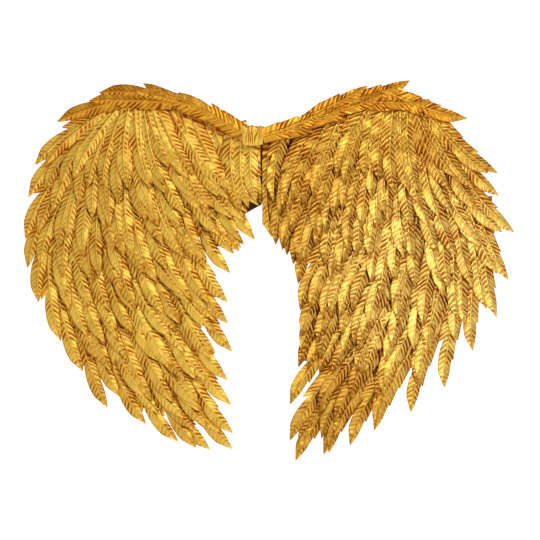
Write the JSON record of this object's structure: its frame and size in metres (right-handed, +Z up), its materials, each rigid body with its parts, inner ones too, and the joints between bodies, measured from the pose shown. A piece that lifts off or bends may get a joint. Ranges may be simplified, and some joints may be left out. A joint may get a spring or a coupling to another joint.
{
  "type": "pair of costume angel wings with shoulder straps",
  "caption": "Pair of curved costume wings covered in overlapping rows of embossed metallic feathers, joined at a centre seam, with dark boards and elastic shoulder straps behind.",
  "frame": {"origin": "on the seam between the wings, at the back face of the joining plate, where the wings rest against the wearer's back", "axes": "+Z up, the feathered front faces -Y, the wearer stands on the +Y side, +X to the right as seen from the front"},
  "size_m": [0.6582, 0.1402, 0.5136],
  "materials": {
    "gold_foil": "gold metallic foil on thin embossed leatherette",
    "amber_foil": "deeper gold metallic foil on thin embossed leatherette",
    "dark_felt": "dark brown felt over a stiff sheet",
    "plate": "matt dark plastic",
    "elastic": "woven black elastic"
  },
  "bodies": {
    "root": {"joining_plate": "plate", "wing_board_left": "dark_felt", "feather_row_left_01": "gold_foil", "feather_row_left_02": "gold_foil", "feather_row_left_03": "gold_foil", "feather_row_left_04": "gold_foil", "feather_row_left_05": "gold_foil", "feather_row_left_06": "gold_foil", "feather_row_left_07": "gold_foil", "feather_row_left_08": "gold_foil", "feather_row_left_09": "gold_foil", "feather_row_left_10": "gold_foil", "feather_row_left_11": "gold_foil", "leading_edge_left": "amber_foil", "shoulder_strap_left": "elastic", "wing_board_right": "dark_felt", "feather_row_right_01": "gold_foil", "feather_row_right_02": "gold_foil", "feather_row_right_03": "gold_foil", "feather_row_right_04": "gold_foil", "feather_row_right_05": "gold_foil", "feather_row_right_06": "gold_foil", "feather_row_right_07": "gold_foil", "feather_row_right_08": "gold_foil", "feather_row_right_09": "gold_foil", "feather_row_right_10": "gold_foil", "feather_row_right_11": "gold_foil", "leading_edge_right": "amber_foil", "shoulder_strap_right": "elastic", "centre_tuft": "gold_foil"}
  },
  "joints": []
}
